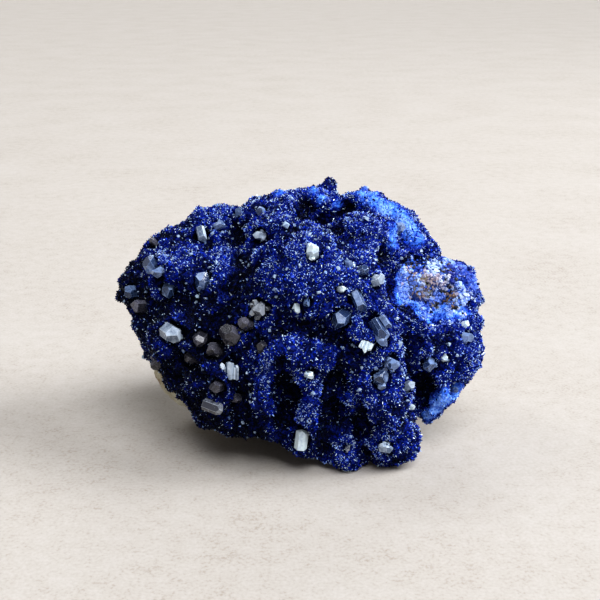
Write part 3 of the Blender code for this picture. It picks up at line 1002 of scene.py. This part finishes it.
def spread(mesh, pitch, seed):
    """Places on a mesh, no two nearer than the pitch: (points, normals, corners of their triangles)."""
    rng = np.random.default_rng(seed)
    faces = triangles(mesh)
    corners = coordinates(mesh)[faces]
    cross = np.cross(corners[:, 1] - corners[:, 0], corners[:, 2] - corners[:, 0])
    areas = np.linalg.norm(cross, axis=1) / 2
    tries = int(areas.sum() / pitch**2 * TRIES)
    picked = rng.choice(len(areas), tries, p=areas / areas.sum())
    first, second = rng.random((2, tries, 1))
    flip = first + second > 1
    first, second = np.where(flip, 1 - first, first), np.where(flip, 1 - second, second)
    a, b, c = corners[picked].transpose(1, 0, 2)
    places = a + (b - a) * first + (c - a) * second
    normals = cross[picked] / np.linalg.norm(cross[picked], axis=1)[:, None]
    cells = {}
    free = []
    for index, place in enumerate(places.tolist()):
        cell = tuple(int(value // pitch) for value in place)
        near = (
            other
            for x in (-1, 0, 1)
            for y in (-1, 0, 1)
            for z in (-1, 0, 1)
            for other in cells.get((cell[0] + x, cell[1] + y, cell[2] + z), ())
        )
        if all(math.dist(place, other) >= pitch for other in near):
            cells.setdefault(cell, []).append(place)
            free.append(index)
    return places[free], normals[free], faces[picked[free]]


def kept(keep, *rows):
    return [row[keep] for row in rows]


def in_the_open(points, normals, rock_tree):
    """Which places aren't covered by the rock or on the ground."""
    shown = []
    for point, normal in zip(points, normals):
        covered = rock_tree.ray_cast(Vector(point), Vector(normal), HIDDEN_BY_ROCK)[0] is not None
        shown.append(not covered and point[2] > OFF_THE_GROUND)
    return np.array(shown)


def clear_of(points, tree, margin):
    """Which places are outside closed bodies by at least a margin."""
    free = []
    for point in points:
        place, normal, _, distance = tree.find_nearest(Vector(point))
        outside = (Vector(point) - place).dot(normal) > 0
        free.append(outside and distance > margin)
    return np.array(free)


def prism_points(rng, count, tall):
    """The ten corners of each of many roofed prisms, no two alike, about one unit wide."""
    thick = rng.uniform(*THICKNESS, count)
    height = tall * rng.uniform(*UNEVEN, count)
    shoulder = height * rng.uniform(*SHOULDER_HEIGHT, count)
    ridge = rng.uniform(*HALF_RIDGE, count)
    off = rng.uniform(*RIDGE_ASIDE, count) * thick
    tip = rng.uniform(*RIDGE_SLOPE, count)
    half = np.full(count, 0.5)
    x = np.stack([-half, half, half, -half] * 2 + [-ridge, ridge], 1)
    y = np.stack([-thick / 2, -thick / 2, thick / 2, thick / 2] * 2 + [off, off], 1)
    z = np.stack([0 * half] * 4 + [shoulder] * 4 + [height + tip, height - tip], 1)
    return np.stack([x, y, z], 2)


def turned(axes, rng):
    """For each axis, three directions: two across it, turned at random, and the axis itself."""
    helper = np.where(np.abs(axes[:, :1]) > 0.7, (0.0, 1.0, 0.0), (1.0, 0.0, 0.0))
    side = np.cross(axes, helper)
    side /= np.linalg.norm(side, axis=1)[:, None]
    other = np.cross(axes, side)
    angle = rng.uniform(0, 2 * math.pi, (len(axes), 1))
    right = side * np.cos(angle) + other * np.sin(angle)
    return np.stack([right, np.cross(axes, right), axes], 2)


def add_cell_map(obj, quads, ends, count):
    """A map that gives each little crystal one square, which all its faces share."""
    columns = math.ceil(math.sqrt(count))
    low, high = CELL_MARGIN, 1 - CELL_MARGIN
    square = np.array([(low, low), (high, low), (high, high), (low, high)])
    parts = []
    for owners, corners in ((quads, square), (ends, square[:3])):
        cell = np.stack([owners % columns, owners // columns], 2)
        parts.append(((cell + corners) / columns).reshape(-1))
    layer = obj.data.uv_layers.new(name="OFBake")
    layer.uv.foreach_set("vector", np.concatenate(parts).astype(np.float32))


def add_grown(name, places, normals, tones, widths=1):
    """One joined mesh of little crystals that grow from these places, each with its tone."""
    form, width, tall, lean, seed = GROWTHS[name]
    rng = np.random.default_rng(seed)
    count = len(places)
    axes = normals + rng.normal(0, lean, (count, 3))
    axes /= np.linalg.norm(axes, axis=1)[:, None]
    sizes = np.reshape(width * widths, (-1, 1, 1)) * rng.uniform(*UNEVEN, (count, 1, 1))
    shapes = prism_points(rng, count, tall) * sizes
    shapes[:, :, :2] *= np.where(tones < SPARKLE_TONE, 1, SPARKLE_SLIMNESS)[:, None, None]
    shapes[:, :, 2:] -= BURIED * sizes
    if form is ROOF:
        shapes = shapes[:, ROOF_CORNERS]
    points = places[:, None] + np.einsum("cij,cpj->cpi", turned(axes, rng), shapes)
    corners = points.shape[1]
    starts = np.arange(count)[:, None, None] * corners
    quads, ends = ((np.array(faces) + starts).reshape(-1, len(faces[0])) for faces in form)
    obj = add_mesh(name, points.reshape(-1, 3).tolist(), quads.tolist() + ends.tolist())
    set_attribute(obj, "tone", np.repeat(tones, corners))
    add_cell_map(obj, quads // corners, ends // corners, count)
    return obj


def patch_offset(points, middle):
    """Where each point is from the bare patch's middle: (across, up, away), with 1 at its border."""
    return (points - np.array(middle)) @ np.array([ACROSS, UP, AWAY]).T / PATCH_SIZE


def patch_radius(points, middle):
    """How far out each point is, with 1 at the ragged border of the bare patch."""
    return np.linalg.norm(patch_offset(points, middle), axis=1) + wavering(points, PATCH_WAVES)


def powder_at(points, spots):
    """How powdery the azurite is at each point, from 0 to 1, with ragged borders."""
    powder = np.zeros(len(points))
    ragged = wavering(points, POWDER_WAVES)
    full, fall = POWDER_FADE
    for centre, reach, strength in spots:
        distance = np.linalg.norm(points - np.array(centre), axis=1) / reach
        powder = np.maximum(powder, strength * np.clip(full - fall * (distance + ragged), 0, 1))
    return powder


def tone_and_shading_of(points, raised, dusty):
    """How bright the azurite is painted at each point: near 0, as painted shade, in the hollows and on
    the far side, and 1, as painted light, on the lit swellings. Slow waves and powder add changes of
    its own tone.
    """
    tone_and_shading = PLAIN_MOOD + SHADING_BY_RELIEF * np.clip(raised / CREASE, -1, 1) + MOOD_OF_POWDER * dusty
    tone_and_shading += wavering(points, MOOD_WAVES)
    tone_and_shading += LIT_BLUE * (points - np.array(MIDDLE)) @ np.array(LIT_SIDE)
    places = across_and_up(points)
    for across, up, reach, more in DRUSE_LIGHT_AND_SHADE:
        gap = np.linalg.norm(places - (across, up), axis=1) / reach
        tone_and_shading += SPOT_STRENGTH * more * np.clip(SPOT_FADE - SPOT_FADE * gap, 0, 1)
    return np.clip(tone_and_shading, LEAST_MOOD, 1)


class Ground:
    """The crust as the ground that grains grow on: how powdery it is and how far it stands out."""

    def __init__(self, crust, rock, crystals):
        self.mesh = crust.data
        self.tree = tree_of(crust)
        self.rock_tree = tree_of(rock)
        self.crystal_tree = tree_of(*crystals)
        self.patch_middle = seen_on(tree_of(crust, rock), *PATCH_MIDDLE)[0]
        self.relief = relief_of(crust, BROAD_SOFTENINGS)
        points = coordinates(crust.data)
        spots = [(seen_on(self.tree, *row[:2])[0], row[2] * MM, row[3]) for row in POWDER_SPOTS]
        powder = powder_at(points, [spot for spot in spots if spot[0] is not None])
        self.powder = np.maximum(powder, self.rim_of_patch(points))
        tone_and_shading = tone_and_shading_of(points, self.relief, self.powder)
        # The crust's colour attribute holds its powder and a share of the druse's painted light and
        # shade.
        set_attribute(crust, "powder", np.maximum(self.powder, CRUST_TONE_AND_SHADING * tone_and_shading))

    def rim_of_patch(self, points):
        """How bright the patch's broken rim is at each point; most at the lower left."""
        across, up, _ = patch_offset(points, self.patch_middle).T
        start, by_across, by_up = RIM_OPEN
        openness = np.clip(start + by_across * across + by_up * up, RIM_LEAST, 1)
        out = patch_radius(points, self.patch_middle)
        return np.clip((PATCH_RIM - out) / RIM_FADE, 0, 1) * openness

    def free_places(self, pitch, seed):
        """(points, normals, how powdery, how far out) of places where grains can grow."""
        points, normals, corners = spread(self.mesh, pitch, seed)
        free = in_the_open(points, normals, self.rock_tree)
        free &= clear_of(points, self.crystal_tree, OFF_THE_CRYSTALS)
        points, normals, corners = kept(free, points, normals, corners)
        return points, normals, self.powder[corners].mean(1), self.relief[corners].mean(1)


def chance_at(tone_and_shading, chance):
    least, more, steepness = chance
    return least + more * tone_and_shading**steepness


def druse_tones(tone_and_shading, dusty, rng):
    """The tone of each druse crystal, from the painted light and shade at its place; more are painted
    as sparkles and glints where it is bright, fewer where rubbed.
    """
    tones = tone_and_shading * rng.uniform(*TONE_SPREAD, len(tone_and_shading))
    luck = rng.random(len(tone_and_shading)) / (ALL_RUBBED - dusty)
    tones[luck < chance_at(tone_and_shading, SPARKLE_CHANCE)] = SPARKLE_TONE
    tones[luck < chance_at(tone_and_shading, GLINT_CHANCE)] = GLINT_TONE
    return tones


def add_druse(ground, rng):
    """The sugary azurite: for each half of the crust, a mesh of larger crystals and one of finer."""
    points, normals, dusty, raised = ground.free_places(*DRUSE_PLACES)
    slope, start = DRUSE_MISSING
    keep = rng.random(len(points)) > dusty * slope + start
    points, normals, dusty, raised = kept(keep, points, normals, dusty, raised)
    tones = druse_tones(tone_and_shading_of(points, raised, dusty), dusty, rng)
    coarse = (rng.random(len(points)) < COARSE_SHARE) & (tones < GLINT_TONE)
    left = points[:, 0] < MIDDLE.x
    parts = {
        "druse_left": coarse & left,
        "druse_right": coarse & ~left,
        "fine_druse_left": ~coarse & left,
        "fine_druse_right": ~coarse & ~left,
    }
    material = druse_finish()
    for name, part in parts.items():
        druse = add_grown(name, *kept(part, points, normals, tones))
        finish_piece(druse, material)


def add_powder(ground, rng):
    """Small dry grains where the azurite is rubbed or broken."""
    points, normals, dusty, raised = ground.free_places(*POWDER_PLACES)
    slope, start = POWDER_THERE
    keep = rng.random(len(points)) < dusty * slope + start
    points, normals, dusty, raised = kept(keep, points, normals, dusty, raised)
    by_luck, by_powder, by_relief = POWDER_BRIGHTNESS
    # the relief term is painted light on swellings and painted shade in hollows
    tones = rng.beta(2, 2, len(points)) * by_luck + by_powder * dusty + by_relief * raised / CREASE
    grains = add_grown("powdery_azurite", points, normals, np.clip(tones, 0, PLAIN_TONE))
    finish_piece(grains, powder_finish())


def blue_stained(points):
    """Which points are on the shoulder of the rock that is stained blue."""
    across, up, reach, back = SHOULDER
    away = np.linalg.norm(across_and_up(points) - (across, up), axis=1)
    return (away < reach) & (points[:, 1] < back * MM)


def patch_kinds(places, rng):
    """Which kind each patch grain is, from where it looks to be on the face."""
    wander = rng.normal(0, KIND_WANDER, places.shape)
    rows = np.array(PATCH_KINDS)
    gaps = np.linalg.norm((places + wander)[:, None] - rows[None, :, :2], axis=2) / rows[:, 2]
    kinds = rows[gaps.argmin(1), 3] + rng.normal(0, KIND_SPREAD, len(places))
    strays = rng.random(len(places)) < STRAY_SHARE
    kinds[strays] = rng.choice(STRAY_KINDS, strays.sum())
    return np.clip(kinds, 0, PLAIN_TONE)


def add_patch_grains(crust, rock, middle):
    """Loose blocky grains over the bare patch and over the blue-stained shoulder of the rock."""
    found = [spread(obj.data, PATCH_PITCH, seed)[:2] for seed, obj in enumerate((crust, rock))]
    on_rock = np.repeat((False, True), [len(places) for places, _ in found])
    points, normals = (np.concatenate(part) for part in zip(*found))
    on_patch = patch_radius(points, middle) < PATCH_EDGE
    keep = on_patch | (on_rock & blue_stained(points))
    points, normals, on_patch = kept(keep, points, normals, on_patch)
    rng = np.random.default_rng(PATCH_LUCK)
    kinds = patch_kinds(across_and_up(points), rng)
    kinds = np.where(on_patch, kinds, rng.uniform(*BLUE_KINDS, len(points)))
    finish_piece(add_grown("patch_grains", points, normals, kinds), patch_finish())


def add_pale_grains(ground):
    """Tiny pale crystals among the druse, most of them at the upper left of the face."""
    rng = np.random.default_rng(PALE_LUCK)
    points, normals, _ = spread(ground.mesh, *PALE_PLACES)
    across, up = across_and_up(points).T
    least, more = PALE_SHARE
    gather_across, gather_up, reach = PALE_GATHER
    share = least + more * np.exp(-np.hypot(across - gather_across, up - gather_up) / reach)
    keep = (rng.random(len(points)) < share) & in_the_open(points, normals, ground.rock_tree)
    points, normals = kept(keep, points, normals)
    whiteness = rng.uniform(*PALE_WHITENESS, len(points))
    lone = [seen_on(ground.tree, across, up) for across, up, _ in LONE_GRAINS]
    points = np.concatenate([points, [point for point, _ in lone]])
    normals = np.concatenate([normals, [normal for _, normal in lone]])
    whiteness = np.append(whiteness, [LONE_WHITENESS] * len(lone))
    widths = np.full(len(points), PALE_WIDTH)
    widths[-len(lone) :] = [width * MM for _, _, width in LONE_GRAINS]
    grains = add_grown("pale_grains", points, normals, np.zeros(len(points)), widths)
    set_attribute(grains, "white", np.repeat(whiteness, PRISM_CORNERS))
    finish_piece(grains, crystal_finish("grain", *PALE_GRAIN_FINISH))


def nearness(tree, point, reach):
    """1 on a surface, falling to 0 this far from it."""
    distance = tree.find_nearest(point, reach)[3]
    return 0 if distance is None else 1 - distance / reach


def dress_rock(rock, crust_tree):
    """Marks where the rock is stained blue, and finishes it."""
    beside = np.array([nearness(crust_tree, vert.co, STAIN_REACH) for vert in rock.data.vertices])
    beside[blue_stained(coordinates(rock.data))] = SHOULDER_STAIN
    set_attribute(rock, "beside", beside)
    finish_piece(rock, rock_finish())


def add_floor():
    low, high = -FLOOR_REACH, FLOOR_REACH
    corners = [(low, low, 0), (high, low, 0), (high, high, 0), (low, high, 0)]
    floor = add_mesh("floor", corners, [(0, 1, 2, 3)])
    finish = Finish("pale_floor", IOR=1.4, Specular_IOR_Level=0.15)
    fleck = finish.noise(0.5 * MM, 2, 0.6) * 0.5 + finish.noise(2.5 * MM, 3) * 0.3
    finish.use("Base Color", finish.ramp(fleck + finish.noise(25 * MM, 2) * 0.2, *FLOOR_TONES))
    finish.use("Roughness", 0.75)
    floor.data.materials.append(finish.material)
    floor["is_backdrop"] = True


def add_room():
    """A dim soft room whose walls are paler near the floor."""
    world = bpy.data.worlds.new("soft_room")
    room = Graph(world, "Background")
    way = room.node("ShaderNodeTexCoord", out="Generated")
    height = room.node("ShaderNodeSeparateXYZ", sockets={"Vector": way}, out="Z")
    room.use("Color", room.ramp(height, *WALL_TONES))
    bpy.context.scene.world = world


def add_aimed(data, place, way):
    """Puts a lamp or the camera at its place, so that it looks this way."""
    obj = link(bpy.data.objects.new(data.name, data))
    obj.location = place
    obj.rotation_mode = "QUATERNION"
    obj.rotation_quaternion = way.to_track_quat("-Z", "Y")
    return obj


def add_light():
    for name, (towards, strength, width, colour) in WINDOWS.items():
        window = bpy.data.lights.new(name, "SUN")
        window.energy = strength
        window.angle = math.radians(width)
        window.color = colour
        add_aimed(window, (0, 0, 0), -Vector(towards))
    near = bpy.data.lights.new("near_window", "AREA")
    near.shape = "SQUARE"
    near.size = NEAR_WINDOW_WIDTH
    near.energy = NEAR_WINDOW_POWER
    near.color = NEAR_WINDOW_COLOUR
    add_aimed(near, NEAR_WINDOW_PLACE, MIDDLE - NEAR_WINDOW_PLACE)
    bpy.context.scene.view_settings.view_transform = "Standard"
    bpy.context.scene.view_settings.look = "Medium High Contrast"


def add_camera():
    lens = bpy.data.cameras.new("camera")
    lens.sensor_width = SENSOR_WIDTH
    lens.lens = lens.sensor_width * LOOK_DISTANCE / PIXEL / FRAME_WIDTH
    lens.shift_x = (FRAME_WIDTH / 2 - MIDDLE_IN_FRAME[0]) / FRAME_WIDTH
    lens.shift_y = (MIDDLE_IN_FRAME[1] - FRAME_WIDTH / 2) / FRAME_WIDTH
    lens.clip_start = NEAREST_SEEN
    bpy.context.scene.camera = add_aimed(lens, EYE, AWAY)


def build():
    add_camera()
    add_room()
    add_light()
    add_floor()
    crystals = add_crystals()
    crust = add_crust()
    rock = add_rock()
    ground = Ground(crust, rock, crystals)
    rng = np.random.default_rng(DRUSE_LUCK)
    add_druse(ground, rng)
    add_powder(ground, rng)
    add_patch_grains(crust, rock, ground.patch_middle)
    add_pale_grains(ground)
    dress_rock(rock, ground.tree)
    finish_piece(crust, crust_finish())


build()
[[list(corner) for corner in box] for box in (cad_box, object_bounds())]
